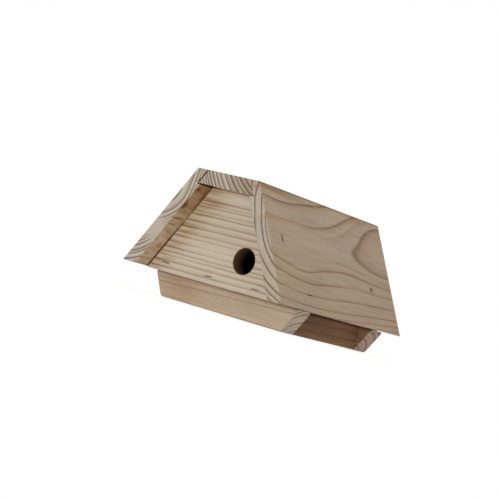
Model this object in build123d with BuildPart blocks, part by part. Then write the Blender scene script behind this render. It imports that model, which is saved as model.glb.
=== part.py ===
from build123d import *

import os
from math import atan, cos, degrees, sin, tan

# Birdhouse of softwood boards: a slanted roof shell on a low batten plinth.
# Frame: +Z up, the front with the entrance hole faces -Y, and the origin is the bottom
# centre of the whole house, on the surface that the plinth stands on. Millimetres.

# Stock
board_thickness = 18.0
batten_height = 30.5
batten_depth = 26.0
batten_round = 4.0  # rounded long edges of the battens
edge_round = 0.6  # eased edges of the boards

# Roof shell
roof_length = 262.0
roof_rise = 130.0  # from the eaves to the flat top
half_top = 48.0  # half width over the roof boards at the top
half_eaves = 125.5  # half width over the roof boards at the eaves
overhang = 22.5  # of the roof past the front and rear panels
panel_gap = 1.2  # open joint between a panel and the left roof board

# Rebates that hold the sliding top board: from the centre plane to each undercut wall, at the top
rebate_left = 32.1
rebate_right = 34.2
lid_gap_left = 1.2
lid_gap_right = 0.3
lid_gap_panels = 0.3  # over the panels, which carry the top board
lid_gap_shoulders = 1.0  # over the shoulders of the rebates

# Entrance hole, in the front panel
entrance_radius = 16.0
entrance_x = 40.0
entrance_height = 36.0  # centre above the eaves

# Floor
floor_drop = 1.0  # how far the undersides of the floor and panels are below the eaves
drain_radius = 4.0
drain_x = 48.0
drain_ys = (-28.0, 58.0)

# Plinth
plinth_setback = 52.0  # front batten behind the roof's front edge
rear_batten_inset = 1.5  # rear batten inside the rear panel's outer face
half_plinth_foot = 95.5

# Staples: a flat wire crown with two legs
crown_width = 11.0
wire_width = 1.2
wire_thickness = 0.7
leg_length = 32.0
crown_depth = 0.5  # the crown is driven this far below the surface
pocket_play = 0.4  # torn grain round a crown

# Staples into the floor's edge through a panel: x, height over the floor's middle, tilt in degrees
front_staple_marks = ((-76.0, 2.3, -3), (-6.0, -0.1, 5), (67.0, -0.3, 1), (74.5, 5.0, -3))
rear_staple_marks = ((-72.0, 1.0, 2), (2.0, -0.6, -3), (73.0, 0.8, 1))

# Staples through the roof boards, into a panel's edge and into the floor's edge
edge_staple_heights = (73.3, 66.0)  # above the eaves, at the front and rear panels
edge_staple_insets = (3.8, 4.5)  # from the panels' outer faces
floor_staple_insets = (65.0, 68.0)  # from the roof's front and rear edges
floor_staple_rise = 1.7  # over the floor's middle, where the staples enter it

# Nails from the chamber down into the plinth
nail_length = 40.0
nail_radius = 1.1
nail_head_radius = 2.5
nail_head_thickness = 1.0
batten_nail_x = 38.0
rail_nail_ys = (-18.0, 52.0)

# Levels and depths that follow from the driving dimensions
slope = atan((half_eaves - half_top) / roof_rise)  # of the roof boards, from the vertical
board_across = board_thickness / cos(slope)  # a roof board measured level
plinth_top = batten_height
floor_bottom = plinth_top
floor_top = floor_bottom + board_thickness
eaves = floor_bottom + floor_drop
top = eaves + roof_rise
lid_bottom = top - board_thickness
panel_top = lid_bottom - lid_gap_panels
shoulder = lid_bottom - lid_gap_shoulders
front = -roof_length / 2
rear = roof_length / 2
panel_front = front + overhang
chamber_front = panel_front + board_thickness
panel_rear = rear - overhang
chamber_rear = panel_rear - board_thickness
entrance_z = eaves + entrance_height
staple_level = (floor_bottom + floor_top) / 2
half_plinth_top = half_plinth_foot + plinth_top * tan(slope)  # the battens' ends follow the roof

os.makedirs("parts", exist_ok=True)


def half_inside(height):
    """Half width between the roof boards at a height."""
    return half_eaves - board_across - (height - eaves) * tan(slope)


def half_outside(height):
    """Half width over the roof boards at a height."""
    return half_eaves - (height - eaves) * tan(slope)


def half_rebate(side, height):
    """Distance from the centre plane to the undercut wall of the left (-1) or right (1) rebate."""
    at_top = rebate_left if side < 0 else rebate_right
    return at_top + (top - height) * tan(slope)


def upright(y):
    """Plane across the house at y, seen from the front: local x is +X and local y is +Z."""
    return Plane.XZ.offset(-y)


def save(builder, name):
    """Label a finished piece and write its STEP file."""
    builder.part.label = name
    export_step(builder.part, f"parts/{name}.step")


def on_panel(x, height, tilt, y, outward):
    """Staple place on a panel: local z is outward, and the crown is level but for its tilt."""
    face = Plane(origin=(x, y, height), x_dir=(1, 0, 0), z_dir=(0, outward, 0))
    return Plane(face.location * Rotation(0, 0, tilt))


def on_roof(y, height, turn, side):
    """Staple place on a roof board's outer face; the crown runs along Y, turned by turn."""
    face = Plane(
        origin=(side * half_outside(height), y, height),
        x_dir=(0, 1, 0),
        z_dir=(side * cos(slope), 0, sin(slope)),
    )
    return Plane(face.location * Rotation(0, 0, turn))


# Staple places. The crowns into the floor are level, and those into a panel's edge follow the
# slope. A staple driven square to a roof board drops on its way in, so it starts higher up.
staple_drop = board_thickness * sin(slope)
front_staples = [
    on_panel(x, staple_level + rise, tilt, panel_front, -1) for x, rise, tilt in front_staple_marks
]
rear_staples = [
    on_panel(x, staple_level + rise, tilt, panel_rear, 1) for x, rise, tilt in rear_staple_marks
]
floor_staple_height = staple_level + floor_staple_rise + staple_drop
front_roof_places = (
    (panel_front + edge_staple_insets[0], eaves + edge_staple_heights[0], 90),
    (front + floor_staple_insets[0], floor_staple_height, 0),
)
rear_roof_places = (
    (panel_rear - edge_staple_insets[1], eaves + edge_staple_heights[1], 90),
    (rear - floor_staple_insets[1], floor_staple_height, 0),
)
roof_staples = {
    -1: [on_roof(*place, -1) for place in front_roof_places + rear_roof_places],
    1: [on_roof(*place, 1) for place in front_roof_places],
}

# Nail places on the floor: x, y
rail_centre = half_plinth_foot - batten_depth / 2
front_batten_front = front + plinth_setback
front_batten_rear = front_batten_front + batten_depth
rear_batten_front = panel_rear - rear_batten_inset - batten_depth
nail_places = [
    (side * x, y)
    for side in (-1, 1)
    for x, y in (
        (batten_nail_x, front_batten_rear - batten_depth / 2),
        (batten_nail_x, (rear_batten_front + chamber_rear) / 2),
        (rail_centre, rail_nail_ys[0]),
        (rail_centre, rail_nail_ys[1]),
    )
]


# Roof boards: slanted, with level edges, and rebated along the top for the top board
for side, name in ((-1, "roof_left_board"), (1, "roof_right_board")):
    with BuildPart() as roof_board:
        with BuildSketch(upright(front)):
            with BuildLine():
                Polyline(
                    (side * half_eaves, eaves),
                    (side * half_top, top),
                    (side * half_rebate(side, top), top),
                    (side * half_rebate(side, shoulder), shoulder),
                    (side * half_inside(shoulder), shoulder),
                    (side * half_inside(eaves), eaves),
                    close=True,
                )
            make_face()
        extrude(amount=-roof_length)
        fillet(roof_board.edges(), edge_round)
        for place in roof_staples[side]:
            with BuildSketch(place):
                Rectangle(crown_width + pocket_play, wire_width + pocket_play)
        extrude(amount=-(crown_depth + wire_thickness), mode=Mode.SUBTRACT)
    save(roof_board, name)


# Top board: its ends are cut to the walls of the rebates, which hold it down as it slides
with BuildPart() as roof_top_board:
    with BuildSketch(upright(front)):
        with BuildLine():
            Polyline(
                (-half_rebate(-1, lid_bottom) + lid_gap_left, lid_bottom),
                (-half_rebate(-1, top) + lid_gap_left, top),
                (half_rebate(1, top) - lid_gap_right, top),
                (half_rebate(1, lid_bottom) - lid_gap_right, lid_bottom),
                close=True,
            )
        make_face()
    extrude(amount=-roof_length)
    fillet(roof_top_board.edges(), edge_round)
save(roof_top_board, "roof_top_board")


# Panels between the roof boards: the front one has the entrance hole
for name, y, staples in (
    ("front_panel", panel_front, front_staples),
    ("rear_panel", chamber_rear, rear_staples),
):
    with BuildPart() as panel:
        with BuildSketch(upright(y)):
            with BuildLine():
                Polyline(
                    (-half_inside(floor_bottom) + panel_gap, floor_bottom),
                    (-half_inside(panel_top) + panel_gap, panel_top),
                    (half_inside(panel_top), panel_top),
                    (half_inside(floor_bottom), floor_bottom),
                    close=True,
                )
            make_face()
        extrude(amount=-board_thickness)
        fillet(panel.edges(), edge_round)
        for place in staples:
            with BuildSketch(place):
                Rectangle(crown_width + pocket_play, wire_width + pocket_play)
        extrude(amount=-(crown_depth + wire_thickness), mode=Mode.SUBTRACT)
        if name == "front_panel":
            with BuildSketch(upright(y)):
                with Locations((entrance_x, entrance_z)):
                    Circle(entrance_radius)
            extrude(amount=-board_thickness, mode=Mode.SUBTRACT)
    save(panel, name)


# Floor of the nest chamber, with drain holes and sunk nail heads
with BuildPart() as floor_board:
    with BuildSketch(upright(chamber_front)):
        with BuildLine():
            Polyline(
                (-half_inside(floor_bottom), floor_bottom),
                (-half_inside(floor_top), floor_top),
                (half_inside(floor_top), floor_top),
                (half_inside(floor_bottom), floor_bottom),
                close=True,
            )
        make_face()
    extrude(amount=-(chamber_rear - chamber_front))
    with Locations(Plane.XY.offset(floor_top)):
        with Locations([(side * drain_x, y) for side in (-1, 1) for y in drain_ys]):
            Hole(drain_radius)
        with Locations(nail_places):
            Hole(nail_head_radius, depth=nail_head_thickness)
save(floor_board, "floor_board")


# Cross battens of the plinth, with ends that slope in towards the foot
for name, y in (
    ("plinth_front_batten", front_batten_front),
    ("plinth_rear_batten", rear_batten_front),
):
    with BuildPart() as batten:
        with BuildSketch(upright(y)):
            with BuildLine():
                Polyline(
                    (-half_plinth_foot, 0),
                    (-half_plinth_top, plinth_top),
                    (half_plinth_top, plinth_top),
                    (half_plinth_foot, 0),
                    close=True,
                )
            make_face()
        extrude(amount=-batten_depth)
        fillet(batten.edges().filter_by(Axis.X), batten_round)
    save(batten, name)


# Upright side rails between the cross battens, flush with their feet
for side, name in ((-1, "plinth_left_rail"), (1, "plinth_right_rail")):
    with BuildPart() as rail:
        with BuildSketch(upright(front_batten_rear)):
            with Locations((side * rail_centre, batten_height / 2)):
                RectangleRounded(batten_depth, batten_height, batten_round)
        extrude(amount=-(rear_batten_front - front_batten_rear))
    save(rail, name)


# Staples, each group of them in the board it was driven through
for name, places in (
    ("front_panel_staples", front_staples),
    ("rear_panel_staples", rear_staples),
    ("left_roof_staples", roof_staples[-1]),
    ("right_roof_staples", roof_staples[1]),
):
    half_crown = crown_width / 2
    crown_under = -crown_depth - wire_thickness
    leg_end = -crown_depth - leg_length
    with BuildPart() as staples:
        for place in places:
            with BuildSketch(Plane(place.origin, x_dir=place.x_dir, z_dir=-place.y_dir)):
                with BuildLine():
                    Polyline(
                        (-half_crown, -crown_depth),
                        (half_crown, -crown_depth),
                        (half_crown, leg_end),
                        (half_crown - wire_thickness, leg_end),
                        (half_crown - wire_thickness, crown_under),
                        (-half_crown + wire_thickness, crown_under),
                        (-half_crown + wire_thickness, leg_end),
                        (-half_crown, leg_end),
                        close=True,
                    )
                make_face()
            extrude(amount=wire_width / 2, both=True)
    save(staples, name)


# Nails down through the floor into the plinth
with BuildPart() as floor_nails:
    with BuildSketch(Plane.XY.offset(floor_top)):
        with Locations(nail_places):
            Circle(nail_head_radius)
    extrude(amount=-nail_head_thickness)
    with BuildSketch(Plane.XY.offset(floor_top)):
        with Locations(nail_places):
            Circle(nail_radius)
    extrude(amount=-nail_length)
save(floor_nails, "floor_nails")

print(f"slope {degrees(slope):.2f} degrees from the vertical, {2 * half_eaves:.0f} wide, {top:.0f} high")
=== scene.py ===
"""Looks of the wooden birdhouse: solid softwood, steel wire, a pale floor and soft studio light.

Every board has a solid (3-D) wood material: growth rings round the pith of the tree that the board
was cut from, so the rings on an end run on over the faces. Inside a board, lengths are in
millimetres from one of its corners: a along the grain, s across the board and t outward through it.
"""

import math
import random

import bpy
from mathutils import Matrix, Vector


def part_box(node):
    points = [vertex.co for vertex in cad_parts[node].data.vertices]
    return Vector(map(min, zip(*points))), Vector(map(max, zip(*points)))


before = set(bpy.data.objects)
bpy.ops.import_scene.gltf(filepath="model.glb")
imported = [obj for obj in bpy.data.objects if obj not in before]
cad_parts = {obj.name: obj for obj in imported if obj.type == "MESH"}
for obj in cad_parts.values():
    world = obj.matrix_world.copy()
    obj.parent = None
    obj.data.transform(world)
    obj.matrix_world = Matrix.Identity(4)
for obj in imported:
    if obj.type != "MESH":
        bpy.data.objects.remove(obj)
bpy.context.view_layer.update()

MM = 0.001
X, Y, Z = Vector((1, 0, 0)), Vector((0, 1, 0)), Vector((0, 0, 1))
SPECULAR = 0.3  # specular level of the wood and the steel
GRAIN_DEPTH = 0.0001  # relief of the fibres and the latewood, in metres


# ---------------------------------------------------------------- node helper

class Nodes:
    """The nodes of a material or a world under construction; most methods return an output socket."""

    def __init__(self, block):
        self.block = block
        block.use_nodes = True
        self.tree = block.node_tree
        self.tree.nodes.clear()

    def add(self, kind, *inputs, **settings):
        """Add a node, give its first inputs these values, and return the node itself."""
        node = self.tree.nodes.new(kind)
        for key, value in settings.items():
            setattr(node, key, value)
        for socket, value in zip(node.inputs, inputs):
            self.put(socket, value)
        return node

    def put(self, socket, value):
        """Give an input socket a value, or link another node's output to it."""
        if isinstance(value, bpy.types.NodeSocket):
            self.tree.links.new(value, socket)
        else:
            socket.default_value = value

    def math(self, operation, *values):
        return self.add("ShaderNodeMath", *values, operation=operation).outputs[0]

    def vector(self, operation, *values):
        node = self.add("ShaderNodeVectorMath", *values, operation=operation)
        return node.outputs["Value" if operation in ("DOT_PRODUCT", "LENGTH") else "Vector"]

    def combine(self, x, y, z=0.0):
        return self.add("ShaderNodeCombineXYZ", x, y, z).outputs[0]

    def noise(self, point, scale, detail=2.0, roughness=0.5):
        """Smooth noise from 0 to 1, around 0.5."""
        node = self.add("ShaderNodeTexNoise", point)
        node.inputs["Scale"].default_value = scale
        node.inputs["Detail"].default_value = detail
        node.inputs["Roughness"].default_value = roughness
        return node.outputs["Fac"]

    def curve(self, value, points):
        """Straight lines between points (in, out), both in their own units, held at their ends."""
        ins = [point[0] for point in points]
        outs = [point[1] for point in points]
        low, reach = min(outs), max(outs) - min(outs)
        node = self.add("ShaderNodeFloatCurve")
        line = node.mapping.curves[0]
        while len(line.points) < len(points):
            line.points.new(0.5, 0.5)
        for spot, x, y in zip(line.points, ins, outs):
            spot.location = ((x - ins[0]) / (ins[-1] - ins[0]), (y - low) / reach)
            spot.handle_type = "VECTOR"
        node.mapping.update()
        self.put(node.inputs["Value"], self.scale(value, ins[0], ins[-1]))
        return self.math("MULTIPLY_ADD", node.outputs[0], reach, low)

    def scale(self, value, low, high, to_low=0.0, to_high=1.0, smooth=False):
        """Map low..high to to_low..to_high, held at its ends; low may be the larger one."""
        node = self.add("ShaderNodeMapRange", value, low, high, to_low, to_high, clamp=True)
        node.interpolation_type = "SMOOTHSTEP" if smooth else "LINEAR"
        return node.outputs[0]

    def mix(self, factor, a, b, blend="MIX"):
        """Mix two colours."""
        node = self.add("ShaderNodeMix", data_type="RGBA", blend_type=blend)
        # Of the node's many sockets, these are the factor and the two colours
        for socket, value in zip((node.inputs[0], node.inputs[6], node.inputs[7]), (factor, a, b)):
            self.put(socket, value)
        return node.outputs[2]

    def seen(self):
        """1 where the camera sees it, itself or by a mirror or glass, 0 for its light on others."""
        paths = self.add("ShaderNodeLightPath").outputs
        direct = self.math("MAXIMUM", paths["Is Camera Ray"], paths["Is Glossy Ray"])
        return self.math("MAXIMUM", direct, paths["Is Transmission Ray"])

    def finish(self, color, roughness, height, depth, metallic=0.0, specular=SPECULAR):
        """Close a material with a shader; height is a bump map of that depth in metres."""
        bump = self.add("ShaderNodeBump")
        bump.inputs["Strength"].default_value = 1.0
        bump.inputs["Distance"].default_value = depth
        self.put(bump.inputs["Height"], height)
        shader = self.add("ShaderNodeBsdfPrincipled")
        self.put(shader.inputs["Base Color"], color)
        self.put(shader.inputs["Roughness"], roughness)
        self.put(shader.inputs["Normal"], bump.outputs[0])
        shader.inputs["Metallic"].default_value = metallic
        self.put(shader.inputs["Specular IOR Level"], specular)
        self.add("ShaderNodeOutputMaterial", shader.outputs[0])
        return self.block


def srgb(red, green, blue):
    """A colour given by its display values from 0 to 255, as the linear colour that nodes take."""
    def linear(value):
        value /= 255.0
        return value / 12.92 if value <= 0.04045 else ((value + 0.055) / 1.055) ** 2.4
    return (linear(red), linear(green), linear(blue), 1.0)


# ---------------------------------------------------------------- wood

ROOF_LENGTH = 262.0  # of the roof boards, in millimetres
SEED_STEP = 7.3  # shift across the noise from one seed to the next, in millimetres
WAVES = ((160.0, 30.0, 1.6), (40.0, 9.0, 0.5))  # length, width and height of the rings' unevenness
# How the latewood darkens: share of its width, share of its darkness
LATEWOOD = ((0.0, 0.0), (0.55, 0.28), (0.80, 0.60), (0.92, 1.0), (1.0, 1.0))
INSIDE, OUTSIDE = 12.0, 6.0  # ringless wood within the first ring and beyond the last one


class Wood(Nodes):
    """The solid wood of one board; its places and lengths are in millimetres."""

    def __init__(self, name, corner, along, across, outward, seed):
        super().__init__(bpy.data.materials.new(name))
        coordinates = self.add("ShaderNodeTexCoord")
        local = self.vector("SCALE", self.vector("SUBTRACT", coordinates.outputs["Object"], corner))
        local.node.inputs["Scale"].default_value = 1 / MM
        self.a = self.vector("DOT_PRODUCT", local, along)
        self.s = self.vector("DOT_PRODUCT", local, across)
        self.t = self.vector("DOT_PRODUCT", local, outward)
        facing = self.vector("DOT_PRODUCT", coordinates.outputs["Normal"], along)
        self.on_end = self.scale(self.math("ABSOLUTE", facing), 0.5, 0.8)
        self.seed = seed
        self.color = None  # of the surface
        self.dark = None  # how far the rings darken it, from 0 to 1
        self.black_shade = None  # how far it is painted black as shade, where it is

    def streaks(self, length, width, shift=0.0, detail=2.0):
        """Noise in patches of about that length and width; each shift gives other patches."""
        a = self.math("MULTIPLY", self.a, width / length)
        s = self.math("ADD", self.s, SEED_STEP * self.seed + shift)
        return self.noise(self.combine(a, s, self.t), 1 / width, detail)

    def spot(self, u, v, centre, reach):
        """1 at a centre in (u, v), fading smoothly to 0 at its reach along each."""
        du = self.math("DIVIDE", self.math("SUBTRACT", u, centre[0]), reach[0])
        dv = self.math("DIVIDE", self.math("SUBTRACT", v, centre[1]), reach[1])
        return self.scale(self.vector("LENGTH", self.combine(du, dv)), 0.0, 1.0, 1.0, 0.0, smooth=True)

    def near(self, centre, reach):
        """A spot in (a, s), which runs through the whole thickness of the board."""
        return self.spot(self.a, self.s, centre, reach)

    def path(self, terms):
        """A polynomial over the board's length, which is 1 at the far end of a roof board."""
        u = self.math("DIVIDE", self.a, ROOF_LENGTH)
        total = terms[-1]
        for term in reversed(terms[:-1]):
            total = self.math("MULTIPLY_ADD", u, total, term)
        return total

    def from_pith(self, across, beyond, swells=(), wobble=1.0, spread=None):
        """Distance to the pith, whose path is two polynomials over the board's length.

        across is its place across the board, and beyond its height over the outer face. Each
        swell is (height, centre, reach) in (a, s), where the rings bulge away from the pith.
        spread bends the distance across, where the rings crowd or open up.
        """
        aside = self.math("SUBTRACT", self.s, self.path(across))
        if spread:
            aside = self.curve(aside, spread)
        above = self.math("SUBTRACT", self.t, self.path(beyond))
        radius = self.vector("LENGTH", self.combine(aside, above))
        for height, centre, reach in swells:
            radius = self.math("MULTIPLY_ADD", self.near(centre, reach), -height, radius)
        for length, width, height in WAVES:
            wave = self.math("SUBTRACT", self.streaks(length, width, shift=41.0), 0.5)
            radius = self.math("MULTIPLY_ADD", wave, 2 * height * wobble, radius)
        return radius

    def rings(self, radius, rings, where=None, stop=0.3):
        """Add rings (radius, darkness, width): the latewood darkens outward and ends within stop."""
        points = [(rings[0][0] - INSIDE, 0.0)]
        for ring, darkness, width in rings:
            start = max(ring - width, points[-1][0] + 0.05)
            for share, tone in LATEWOOD:
                points.append((start + share * (ring - start), tone * darkness))
            points.append((ring + stop, 0.0))
        points.append((points[-1][0] + OUTSIDE, 0.0))
        dark = self.curve(radius, points)
        if where is not None:
            dark = self.math("MULTIPLY", dark, where)
        self.dark = dark if self.dark is None else self.math("MAXIMUM", self.dark, dark)

    def fade(self, where, strength):
        """Make the rings fainter by that share, as far as where says."""
        self.dark = self.math("MULTIPLY", self.dark, self.math("MULTIPLY_ADD", where, -strength, 1.0))

    def drop(self):
        """How far a place on a roof board lies under the top of the roof."""
        down = self.math("MULTIPLY", self.s, math.cos(SLOPE))
        return self.math("MULTIPLY_ADD", self.t, -math.sin(SLOPE), down)

    def paint(self, face, end, uneven=0.35):
        """Colour the rings, with one set of three colours on the faces and another on the ends."""
        varied = self.math("MULTIPLY_ADD", self.streaks(70.0, 5.0, shift=11.0), 2 * uneven, 1 - uneven)
        stronger = self.math("POWER", self.dark, 0.6)
        self.dark = self.math("MULTIPLY", self.dark, varied)
        self.color = self.mix(self.on_end, self.tone(self.dark, *face), self.tone(stronger, *end))

    def tone(self, dark, early, turn, late):
        """The colour of wood that dark, from the earlywood through its turn to the latewood."""
        first = self.mix(self.scale(dark, 0.0, 0.5), early, turn)
        return self.mix(self.scale(dark, 0.45, 1.0), first, late)

    def shade(self, factor, strength):
        """Lighten and darken the colour by a noise around 0.5."""
        level = self.math("MULTIPLY_ADD", self.math("SUBTRACT", factor, 0.5), strength, 1.0)
        self.color = self.mix(1.0, self.color, self.combine(level, level, level), "MULTIPLY")

    def stain_and_shade(self, where, strength, tint):
        """Multiply the colour by a tint, as far as where says: for stains, and for painted shade and
        painted light.
        """
        amount = self.math("MULTIPLY", where, strength)
        self.color = self.mix(amount, self.color, tint, "MULTIPLY")

    def paint_shade_black(self, where, strength):
        """Paint shade nearly black into a joint or gap, without any shine."""
        self.stain_and_shade(where, strength, MARK_AND_SHADE_BLACK)
        black_shade = self.math("MULTIPLY", where, strength)
        self.black_shade = black_shade if self.black_shade is None else self.math("MAXIMUM", self.black_shade, black_shade)

    def close(self, streak=0.26, patch=0.18, mottle=0.08, warm=0.35):
        """Add fibres, streaks, patches, mottling and warmer wood that strong; return the material."""
        fibres = self.streaks(22.0, 0.7, detail=3.0)
        self.shade(fibres, 0.12)
        self.shade(self.streaks(60.0, 2.6, shift=3.0), streak)
        self.shade(self.streaks(110.0, 16.0, shift=23.0), patch)
        self.shade(self.streaks(6.0, 4.0, shift=31.0), mottle)
        self.stain_and_shade(self.scale(self.streaks(80.0, 12.0, shift=57.0), 0.42, 0.68), warm, WARM)
        height = self.math("MULTIPLY_ADD", self.dark, 0.5, self.math("MULTIPLY", fibres, 0.5))
        roughness = self.scale(self.dark, 0.0, 1.0, 0.74, 0.62)
        shine = SPECULAR
        # less shine where shade is painted black
        if self.black_shade is not None:
            shine = self.math("MULTIPLY_ADD", self.black_shade, -SPECULAR, SPECULAR)
        return self.finish(self.color, roughness, height, GRAIN_DEPTH, specular=shine)


def evenly(first, last, gap, seed):
    """Rings about gap apart from first to last, with latewood on nearly half of each."""
    draw = random.Random(seed)
    rings = []
    radius = first
    while radius < last:
        step = gap * draw.uniform(0.75, 1.3)
        rings.append((radius, draw.uniform(0.5, 1.0), 0.45 * step))
        radius += step
    return rings


# Colours of the planed faces and of the end grain: earlywood, its change to latewood, latewood
PALE = (srgb(193, 179, 160), srgb(172, 154, 133), srgb(143, 123, 101))
BUFF = (srgb(185, 167, 145), srgb(172, 151, 127), srgb(152, 127, 102))
TAN = (srgb(185, 165, 142), srgb(168, 141, 116), srgb(112, 84, 62))
GREY_END = (srgb(189, 178, 162), srgb(139, 123, 108), srgb(92, 76, 62))
DUSKY_END = (srgb(176, 164, 149), srgb(128, 112, 98), srgb(84, 68, 56))
PINK_END = (srgb(194, 177, 160), srgb(168, 147, 129), srgb(100, 82, 68))
BROWN_END = (srgb(178, 156, 138), srgb(150, 126, 108), srgb(104, 82, 67))
BROWN = (srgb(123, 91, 64), srgb(102, 72, 48), srgb(78, 52, 33))

# Tints that stains, painted shade and painted light multiply the wood by
WARM = (1.0, 0.93, 0.86, 1.0)
STRAW = (0.93, 0.86, 0.76, 1.0)
BUTTER = (0.97, 0.94, 0.88, 1.0)
BLEACH = (1.08, 1.10, 1.13, 1.0)
PALE_INSIDE = (1.11, 1.10, 1.08, 1.0)
# painted light, on the front batten's upper edge and the rails' foot
PAINTED_LIGHT = (1.22, 1.20, 1.18, 1.0)
DUSK = (0.90, 0.89, 0.88, 1.0)
RED = (0.90, 0.72, 0.60, 1.0)
RUST = (0.80, 0.58, 0.42, 1.0)
OLIVE = (0.70, 0.58, 0.42, 1.0)
KNOT = (0.52, 0.34, 0.24, 1.0)
# dark end grain of the entrance's wall with painted shade on it
END_GRAIN_AND_SHADE = (0.30, 0.15, 0.10, 1.0)
# near black for a knot and a bruise, and painted shade in joints, gaps and the entrance
MARK_AND_SHADE_BLACK = (0.22, 0.13, 0.09, 1.0)

# Lengths in millimetres, as inside the boards
BOARD = 18.0  # thickness of every board
PANEL_SETBACK = 22.5  # of the front panel's face behind the roof's front edge
REBATE_DEPTH = 13.66  # from the left board's outer face to the undercut wall of its rebate
SHOULDER = 19.0  # from the top of the roof down to the shoulders of the rebates
SLOPE = math.radians(30.80)  # of the roof boards, from the vertical
PITH_RISE, PITH_DEPTH = 262.0, -70.0  # place of the panels' pith, over their foot and their face
ENTRANCE_RADIUS = 16.0

# Places in metres, as in the frame
HALF_TOP = 0.048  # from the centre plane to the roof boards' top outer edges
ENTRANCE_X, ENTRANCE_Z = 0.040, 0.0675
low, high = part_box("roof_right_board")
ROOF_FRONT, ROOF_TOP = low.y, high.z


def roof_axes(side):
    """A roof board's corner and axes: its top outer edge in front; along, down the slope, outward."""
    corner = Vector((side * HALF_TOP, ROOF_FRONT, ROOF_TOP))
    across = Vector((side * math.sin(SLOPE), 0, -math.cos(SLOPE)))
    outward = Vector((side * math.cos(SLOPE), 0, math.sin(SLOPE)))
    return corner, Y, across, outward


def outer_corner(node, outward):
    """The corner of a board across the house: its low left one, on the face that looks outward."""
    low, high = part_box(node)
    return Vector((low.x, low.y if outward.y < 0 else high.y, low.z))


def right_board():
    """Flat-sawn, with one long loop of the grain at the rear and a pin knot under it."""
    wood = Wood("right_board_wood", *roof_axes(1), seed=1)
    radius = wood.from_pith(
        across=(61.0, 12.6, -77.5, 44.2),
        beyond=(95.9, -8.7, -21.2, 19.4),
        swells=(
            (1.9, (56, 82), (54, 63)),
            (-10.3, (181, 40), (242, 71)),
            (-3.2, (151, 95), (112, 54)),
            (1.2, (0, 16), (55, 18)),
        ),
        wobble=0.08,
    )
    # In front, the rings about 111 mm from the pith lie a little further out
    wider = wood.spot(wood.a, radius, (83, 111), (100, 10))
    radius = wood.math("MULTIPLY_ADD", wider, -1.9, radius)
    wood.rings(radius, (
        (100.3, 0.85, 1.6), (106.0, 0.90, 2.4), (115.3, 0.85, 2.6), (125.2, 0.85, 2.6),
        (131.5, 0.7, 2.2), (137, 0.7, 2.2), (143, 0.7, 2.2),
    ))
    # Two more rings, at the rear only
    rear = wood.scale(wood.a, 90, 150, smooth=True)
    wood.rings(radius, ((95.9, 0.74, 2.4), (98.2, 0.35, 1.4)), where=rear)
    # All are fainter in two streaks along the board, and on its inside halfway down
    wood.fade(wood.near((30, 38), (110, 12)), 0.45)
    wood.fade(wood.near((180, 104), (120, 10)), 0.4)
    wood.fade(wood.spot(wood.s, wood.t, (74, -18), (30, 7)), 0.9)
    wood.paint(TAN, DUSKY_END)
    # Red and brown along the top, paler in the middle and the loop, redder in a streak in front
    # and low at the rear, yellower low in front
    strands = wood.scale(wood.streaks(50, 3, shift=90), 0.40, 0.60)
    low_front = wood.math("MULTIPLY", wood.scale(wood.s, 60, 90), wood.scale(wood.a, 150, 90))
    for strength, tint, where in (
        (1.0, RED, wood.near((206, 2), (28, 13))),
        (1.0, RUST, wood.math("MULTIPLY", strands, wood.near((10, 2), (90, 14)))),
        (0.6, OLIVE, wood.near((40, 4), (70, 9))),
        (0.6, BLEACH, wood.near((240, 40), (34, 26))),
        (0.5, BLEACH, wood.near((140, 72), (80, 45))),
        (0.5, RED, wood.near((10, 44), (60, 7))),
        (0.35, RED, wood.scale(wood.math("ADD", wood.a, wood.s), 240, 400)),
        (1.0, BUTTER, low_front),
    ):
        wood.stain_and_shade(where, strength, tint)
    # The pin knot, the bruised wood round the upper staple in front, and a darker top edge
    for strength, tint, where in (
        (0.8, RED, wood.near((213, 97), (9, 6))),
        (1.0, RUST, wood.near((211, 97.5), (5.0, 4.2))),
        (1.0, MARK_AND_SHADE_BLACK, wood.near((211, 97.5), (3.6, 4.6))),
        (0.75, MARK_AND_SHADE_BLACK, wood.near((26.9, 66.0), (2.6, 7.5))),
        (0.95, OLIVE, wood.spot(wood.s, wood.t, (0.6, 0), (3.2, 3.2))),
    ):
        wood.stain_and_shade(where, strength, tint)
    return wood.close(streak=0.56, patch=0.26, mottle=0.22)


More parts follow.
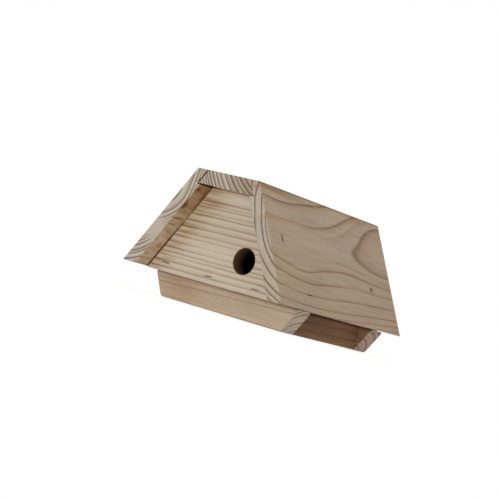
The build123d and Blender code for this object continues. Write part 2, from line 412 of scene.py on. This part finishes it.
def left_board():
    """Its rings cross the front end in arcs that crowd towards the eaves; stained on its inside, with
    painted shade there under the lid and along the joints.
    """
    wood = Wood("left_board_wood", *roof_axes(-1), seed=2)
    radius = wood.from_pith(
        across=(43, 26, -22),
        beyond=(42, 10, -18),
        wobble=0.35,
        spread=(
            (-70, -52), (-46, -41), (-33, -33), (-21, -24), (-11, -14), (0, 0), (17, 20), (27, 31),
            (35, 38.5), (46, 48), (65, 58), (81, 64.5), (91, 69.8), (104, 77.8), (115, 84),
        ),
    )
    wood.rings(radius, (
        (36.5, 0.55, 3.0), (44.9, 0.9, 2.7), (55.6, 0.5, 4.5), (61, 0.75, 2.6), (64.5, 0.55, 2.0),
        (68, 0.55, 1.8), (71, 0.5, 1.8), (73.7, 0.5, 1.8), (76.3, 0.55, 2.0), (79.3, 0.7, 2.0),
        (83.4, 0.65, 2.2), (85.9, 0.65, 1.8), (90.4, 1.1, 1.6), (95, 0.65, 2.5),
    ))
    # The rings are fainter towards the eaves and on the inner face
    inner = wood.scale(wood.t, 0.4 - BOARD, 0.1 - BOARD)
    wood.fade(wood.scale(wood.spot(wood.s, wood.t, (93, -8), (26, 30)), 0.0, 0.6), 0.92)
    wood.fade(inner, 0.6)
    wood.paint(TAN, GREY_END)
    # Duskier ends, yellower in the lower inner corner, and a paler inner face
    corner = wood.math("MULTIPLY", wood.on_end, wood.spot(wood.s, wood.t, (137, -17), (8, 6)))
    wood.stain_and_shade(corner, 0.9, STRAW)
    wood.stain_and_shade(wood.on_end, 0.35, DUSK)
    wood.stain_and_shade(inner, 1.0, PALE_INSIDE)
    # On the inner face: painted shade, darker upwards under the lid and along the joint with the panel,
    # and stains: a knot, smears and two lines across
    for strength, tint, where in (
        # painted shade under the lid, darker upwards
        (0.85, OLIVE, wood.scale(wood.s, 76, 30)),
        (0.7, OLIVE, wood.scale(wood.streaks(16, 5, shift=66), 0.44, 0.64)),
        (2.2, KNOT, wood.near((0, 44), (9, 11))),
        (1.2, KNOT, wood.near((4, 19), (9, 5))),
        (0.7, KNOT, wood.near((21, 22), (9, 14))),
        (0.8, RED, wood.near((14, 20), (9, 5))),
        # painted shade along the joint with the panel
        (1.2, OLIVE, wood.near((24, 32), (9, 26))),
        (0.9, KNOT, wood.near((8, 65), (20, 2.6))),
        (1.2, KNOT, wood.near((6, 74.5), (14, 1.4))),
        (0.7, RED, wood.near((10, 83), (24, 6))),
        (0.8, RUST, wood.near((15, 107), (6, 6))),
        (0.6, RED, wood.near((8, 131), (18, 3))),
    ):
        wood.stain_and_shade(wood.math("MULTIPLY", inner, where), strength, tint)
    # Painted shade, nearly black: in the joint with the panel, towards the eaves, and on the wall of the
    # rebate down to just under the shoulder, but for its front arris below the first 12 mm
    joint = wood.scale(wood.a, PANEL_SETBACK - 2.2, PANEL_SETBACK - 0.4)
    joint = wood.math("MULTIPLY", joint, wood.scale(wood.s, 60, 95))
    wood.paint_shade_black(wood.math("MULTIPLY", inner, joint), 0.95)
    upper = wood.math("MAXIMUM", wood.scale(wood.s, 13.0, 11.5), wood.scale(wood.a, 0.5, 1.5))
    upper = wood.math("MULTIPLY", upper, wood.scale(wood.drop(), SHOULDER + 0.6, SHOULDER + 0.36))
    wall = wood.scale(wood.t, 1.2 - REBATE_DEPTH, 0.5 - REBATE_DEPTH)
    wood.paint_shade_black(wood.math("MULTIPLY", wall, upper), 0.9)
    return wood.close()


def top_board():
    """The lid: its rings stand steeply on the ends, closer together towards the left."""
    corner = Vector((-HALF_TOP, ROOF_FRONT, ROOF_TOP))
    wood = Wood("top_board_wood", corner, Y, X, Z, seed=3)
    radius = wood.from_pith(across=(126, -8), beyond=(58, 2), wobble=0.2)
    wood.rings(radius, (
        (59, 0.6, 3), (66, 0.7, 3), (72.6, 0.8, 3), (79.6, 0.9, 4.4), (85.1, 1.0, 4.6),
        (89.9, 0.65, 4.0), (95.8, 1.0, 4.6), (98.8, 0.3, 2), (102.1, 0.9, 3.4), (108.7, 0.75, 3.4),
        (114, 0.8, 3.2), (119.1, 1.0, 3.2), (123.6, 1.0, 3.0), (127.3, 1.0, 2.6), (130.5, 0.9, 2.2),
        (134.6, 1.0, 2.6), (138.4, 0.9, 2.2),
    ))
    wood.paint(TAN, GREY_END)
    # Browner ends towards the right, and painted shade, nearly black, on the underside over the left
    # shoulder
    wood.stain_and_shade(wood.math("MULTIPLY", wood.on_end, wood.scale(wood.s, 40, 75)), 0.45, OLIVE)
    below = wood.scale(wood.t, 0.6 - BOARD, 0.2 - BOARD)
    wood.paint_shade_black(wood.math("MULTIPLY", below, wood.scale(wood.s, 30, 27)), 0.97)
    return wood.close()


def panel(node, seed, levels, outward, stop=0.3):
    """A gable panel with level grain, not yet coloured; its rings cross the face at those heights."""
    wood = Wood(node + "_wood", outer_corner(node, outward), X, Z, outward, seed)
    radius = wood.from_pith(across=(PITH_RISE, 2), beyond=(PITH_DEPTH, 0), wobble=0.6)
    rings = []
    for level, darkness, width in levels:
        rings.append((math.hypot(PITH_RISE - level, PITH_DEPTH), darkness, width))
    wood.rings(radius, sorted(rings), stop=stop)
    wood.fade(wood.near((106, 37), (75, 22)), 0.55)
    return wood


def front_panel():
    """The panel with the entrance, whose wall has painted shade, and a stained band on the left."""
    wood = panel("front_panel", 4, (
        (109.5, 0.3, 3), (95.4, 0.85, 5), (91.4, 0.5, 3), (88, 0.85, 4), (81.4, 0.7, 4), (77.6, 0.85, 4),
        (68.3, 0.8, 6), (60.3, 0.85, 6), (52.2, 0.75, 5), (46.8, 0.75, 3.5), (38.4, 0.65, 5),
        (30.6, 0.75, 5), (24.9, 0.85, 3), (20.2, 0.75, 3), (13.2, 0.85, 4), (5.4, 0.85, 4),
        (-1.6, 0.8, 3),
    ), -Y, stop=1.1)
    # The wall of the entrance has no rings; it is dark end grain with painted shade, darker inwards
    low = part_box("front_panel")[0]
    aside = wood.math("SUBTRACT", wood.a, (ENTRANCE_X - low.x) / MM)
    above = wood.math("SUBTRACT", wood.s, (ENTRANCE_Z - low.z) / MM)
    from_middle = wood.vector("LENGTH", wood.combine(aside, above))
    wall = wood.scale(from_middle, ENTRANCE_RADIUS + 0.6, ENTRANCE_RADIUS + 0.2)
    wood.fade(wall, 1.0)
    wood.paint(PALE, GREY_END, uneven=0.7)
    # painted shade in the entrance: dark over the wall and darker inwards
    wood.stain_and_shade(wall, 1.0, END_GRAIN_AND_SHADE)
    wood.stain_and_shade(wood.math("MULTIPLY", wall, wood.scale(wood.t, -2.0, -15.0)), 0.9, MARK_AND_SHADE_BLACK)
    # Along the left board the wood is yellower, and its latewood is stained brown. The rest is
    # paler at the top and low on the left, and duskier towards the right
    inside = wood.math("SUBTRACT", wood.a, wood.math("MULTIPLY", wood.s, math.tan(SLOPE) + 0.10))
    inside = wood.math("MULTIPLY_ADD", wood.streaks(40, 7, shift=85), 22, inside)
    band = wood.scale(inside, 14, 48, 1.0, 0.0, smooth=True)
    strands = wood.scale(wood.streaks(60, 5, shift=80), 0.42, 0.62)
    for strength, tint, where in (
        (1.6, BLEACH, wood.near((108, 102), (48, 10))),
        (0.5, BLEACH, wood.near((60, 20), (60, 26))),
        (0.6, STRAW, wood.math("MULTIPLY", band, wood.scale(wood.s, 30, 100, 0.5, 1.2))),
        (0.4, DUSK, wood.scale(wood.math("ADD", wood.a, wood.s), 130, 190)),
        (0.95, OLIVE, wood.math("MULTIPLY", band, wood.math("MAXIMUM", wood.dark, strands))),
    ):
        wood.stain_and_shade(where, strength, tint)
    return wood.close(streak=0.30, patch=0.12, mottle=0.12, warm=0.15)


def rear_panel():
    """The panel that closes the rear, with rings about 7 mm apart."""
    draw = random.Random(5)
    levels = []
    for step in range(15):
        levels.append((3 + 7.2 * step + draw.uniform(-1.5, 1.5), draw.uniform(0.4, 0.9), 3.0))
    wood = panel("rear_panel", 5, levels, Y)
    wood.paint(PALE, GREY_END, uneven=0.7)
    return wood.close()


def batten(node, seed, colors, outward):
    """A plinth batten: its pith lies below it and behind its outer face."""
    wood = Wood(node + "_wood", outer_corner(node, outward), X, Z, outward, seed)
    radius = wood.from_pith(across=(-21.7, 9.5), beyond=(-26.5, -2), wobble=0.35)
    wood.rings(radius, (
        (20.5, 1.0, 2.2), (25.5, 0.3, 1.4), (31, 1.0, 2.6), (36, 0.3, 1.6), (48, 1.0, 2.8),
        (53, 0.7, 1.6),
    ))
    # Three rings close together, which show on the ends more than on the faces
    mostly_end = wood.scale(wood.on_end, 0.0, 1.0, 0.35, 1.0)
    wood.rings(radius, ((40.2, 0.7, 1.4), (41.5, 1.0, 1.3), (43, 1.0, 1.5)), where=mostly_end)
    wood.paint(*colors)
    return wood


def front_batten():
    """Redder and duskier on the left, with a painted shadow in a strip under the panel and painted light
    on its upper edge.
    """
    wood = batten("plinth_front_batten", 6, (BUFF, PINK_END), -Y)
    wood.stain_and_shade(wood.near((45, 16), (48, 34)), 0.65, RED)
    wood.stain_and_shade(wood.scale(wood.a, 90, 60), 0.35, DUSK)
    # painted shadow under the overhanging panel
    wood.stain_and_shade(wood.scale(wood.s, 25.0, 28.5), 1.0, DUSK)
    # painted light on the upper edge
    wood.stain_and_shade(wood.scale(wood.s, 28.8, 29.6), 1.0, PAINTED_LIGHT)
    return wood.close(streak=0.50, mottle=0.24, warm=0.3)


def rear_batten():
    """Of the same dark wood as the rails."""
    return batten("plinth_rear_batten", 7, (BROWN, BROWN_END), Y).close(mottle=0.2)


def plain(node, seed, colors, axes, pith, beyond, gap):
    """A board that is mostly out of sight, with rings about gap apart."""
    wood = Wood(node + "_wood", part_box(node)[0], *axes, seed)
    radius = wood.from_pith(across=(pith, 8), beyond=(beyond, 5))
    wood.rings(radius, evenly(abs(beyond) * 0.8, abs(beyond) + 100, gap, seed))
    wood.paint(*colors)
    return wood


def rail(node, seed, outward):
    """A plinth rail of dark, streaky wood, with painted light towards its foot and painted shade by the
    front batten.
    """
    wood = plain(node, seed, (BROWN, GREY_END), (Y, Z, outward), -20, 40, 9.0)
    # painted light, paler towards the foot
    wood.stain_and_shade(wood.scale(wood.s, 15, 2), 1.0, PAINTED_LIGHT)
    # painted shade next to the front batten
    wood.stain_and_shade(wood.near((0, 12), (9, 24)), 0.45, MARK_AND_SHADE_BLACK)
    return wood.close(streak=1.0, patch=0.5, mottle=0.2)


wood_of = {
    "roof_right_board": right_board(),
    "roof_left_board": left_board(),
    "roof_top_board": top_board(),
    "front_panel": front_panel(),
    "rear_panel": rear_panel(),
    "plinth_front_batten": front_batten(),
    "plinth_rear_batten": rear_batten(),
    "floor_board": plain("floor_board", 8, (PALE, GREY_END), (Y, X, -Z), 70, 40, 5.0).close(),
    "plinth_left_rail": rail("plinth_left_rail", 9, -X),
    "plinth_right_rail": rail("plinth_right_rail", 10, X),
}


# ---------------------------------------------------------------- steel

WIRE = (0.26, 0.22, 0.17, 1.0)
DARK_WIRE = (0.10, 0.08, 0.06, 1.0)
PALE_WIRE = (0.32, 0.30, 0.24, 1.0)
NAIL_STEEL = (0.40, 0.38, 0.35, 1.0)
TARNISH = (0.30, 0.27, 0.24, 1.0)  # that the steel is multiplied by
SCRATCH_DEPTH = 0.00002
PALE_STAPLE_HEIGHT = 0.043  # only the highest staple of the front panel lies over it


def steel(name, color, pale_over=None):
    """Dull drawn wire with fine scratches and darker tarnish, and pale over a height in metres."""
    n = Nodes(bpy.data.materials.new(name))
    place = n.add("ShaderNodeTexCoord").outputs["Object"]
    tarnish = n.noise(place, 260.0, 3.0, 0.6)
    scratch = n.noise(place, 4000.0, 2.0, 0.5)
    dark = n.mix(1.0, color, TARNISH, "MULTIPLY")
    tone = n.mix(n.scale(tarnish, 0.4, 0.6), color, dark)
    if pale_over:
        height = n.vector("DOT_PRODUCT", place, Z)
        tone = n.mix(n.scale(height, pale_over - MM / 2, pale_over + MM / 2), tone, PALE_WIRE)
    roughness = n.scale(tarnish, 0.3, 0.7, 0.35, 0.6)
    return n.finish(tone, roughness, scratch, SCRATCH_DEPTH, metallic=0.7)


steel_of = {
    "front_panel_staples": steel("front_staple_wire", WIRE, pale_over=PALE_STAPLE_HEIGHT),
    "rear_panel_staples": steel("rear_staple_wire", WIRE),
    "left_roof_staples": steel("left_staple_wire", DARK_WIRE),
    "right_roof_staples": steel("right_staple_wire", DARK_WIRE),
    "floor_nails": steel("nail_steel", NAIL_STEEL),
}

for name, material in {**wood_of, **steel_of}.items():
    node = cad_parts[name]
    if not node.material_slots:
        node.data.materials.append(material)
    for slot in node.material_slots:
        slot.material = material


# ---------------------------------------------------------------- floor, backdrop and light

WHITE = (1.0, 1.0, 1.0, 1.0)
AMBIENT = 0.56  # level of the even light from all round
FLOOR_LEVEL = 0.75 * AMBIENT  # of the open floor, in that light alone
FLOOR_GLOW = 0.22  # light that the floor adds to the underside of the house
FLOOR_TONES = ((0.78, 0.77, 0.75, 1.0), (0.82, 0.81, 0.79, 1.0))
FLOOR_REACH = 6.0  # from its middle to each side
FLOOR_DROP = 0.0002  # under the foot of the house, which it mustn't coincide with
WHITE_FROM, WHITE_AT = 0.13, 0.24  # distances from the middle between which the shadow ends
LAMP_AIM = Vector((0, 0, 0.08))  # about the middle of the house


def floor_material():
    """Pale floor that keeps a faint shadow round the object and is white further out."""
    n = Nodes(bpy.data.materials.new("pale_floor"))
    place = n.add("ShaderNodeTexCoord").outputs["Object"]
    tone = n.mix(n.noise(place, 60.0, 3.0, 0.5), *FLOOR_TONES)
    matt = n.add("ShaderNodeBsdfDiffuse", tone).outputs[0]
    # Where it is seen, light is added until the open floor is white
    lift = n.add("ShaderNodeEmission", WHITE, 1.0 - FLOOR_LEVEL).outputs[0]
    near = n.add("ShaderNodeAddShader", matt, lift).outputs[0]
    white = n.add("ShaderNodeEmission", WHITE, 1.0).outputs[0]
    share = n.scale(n.vector("LENGTH", place), WHITE_FROM, WHITE_AT, 0.5, 1.0)
    pale = n.add("ShaderNodeMixShader", share, near, white).outputs[0]
    # To the rest of the scene it is a plain surface with a little light of its own
    glow = n.add("ShaderNodeEmission", WHITE, FLOOR_GLOW).outputs[0]
    plain_floor = n.add("ShaderNodeAddShader", matt, glow).outputs[0]
    blend = n.add("ShaderNodeMixShader", n.seen(), plain_floor, pale).outputs[0]
    n.add("ShaderNodeOutputMaterial", blend)
    return n.block


corners = [(x * FLOOR_REACH, y * FLOOR_REACH, 0) for x, y in ((-1, -1), (1, -1), (1, 1), (-1, 1))]
floor_mesh = bpy.data.meshes.new("floor")
floor_mesh.from_pydata(corners, [], [(0, 1, 2, 3)])
floor = bpy.data.objects.new("floor", floor_mesh)
floor.location.z = -FLOOR_DROP
floor_mesh.materials.append(floor_material())
bpy.context.scene.collection.objects.link(floor)


def studio():
    """A world that is white where it is seen and lights the scene evenly."""
    n = Nodes(bpy.data.worlds.new("studio"))
    level = n.scale(n.seen(), 0.0, 1.0, AMBIENT, 1.0)
    n.add("ShaderNodeOutputWorld", n.add("ShaderNodeBackground", WHITE, level).outputs[0])
    return n.block


bpy.context.scene.world = studio()


def away_at(azimuth, elevation):
    """Unit vector away from the house. Azimuth 0 is in front of it, and 90 on its right."""
    turn, lift = math.radians(azimuth), math.radians(elevation)
    return Vector((math.sin(turn) * math.cos(lift), -math.cos(turn) * math.cos(lift), math.sin(lift)))


def softbox(name, azimuth, elevation, distance, width, height, power):
    """An area light that faces the house."""
    lamp = bpy.data.lights.new(name, "AREA")
    lamp.shape = "RECTANGLE"
    lamp.size = width
    lamp.size_y = height
    lamp.energy = power
    light = bpy.data.objects.new(name, lamp)
    away = away_at(azimuth, elevation)
    light.location = LAMP_AIM + away * distance
    light.rotation_euler = away.to_track_quat("Z", "Y").to_euler()
    bpy.context.scene.collection.objects.link(light)


softbox("key", azimuth=18, elevation=0, distance=2.6, width=1.4, height=0.12, power=27)


# ---------------------------------------------------------------- camera

def camera(aim, azimuth, elevation, roll, distance, lens):
    """A camera that looks at aim from that azimuth and elevation, rolled and that far away."""
    data = bpy.data.cameras.new("camera")
    data.lens = lens
    data.sensor_width = 36.0
    data.clip_end = 50.0
    body = bpy.data.objects.new("camera", data)
    away = away_at(azimuth, elevation)
    look = away.to_track_quat("Z", "Y").to_matrix()
    tilt = Matrix.Rotation(math.radians(roll), 3, "Z")
    body.matrix_world = Matrix.Translation(Vector(aim) + away * distance) @ (look @ tilt).to_4x4()
    bpy.context.scene.collection.objects.link(body)
    bpy.context.scene.camera = body


camera(
    aim=(0.0, -0.05266, 0.08393), azimuth=38.19, elevation=-1.38, roll=15.73,
    distance=1.7751, lens=105.02,
)

bpy.context.scene.view_settings.view_transform = "Standard"
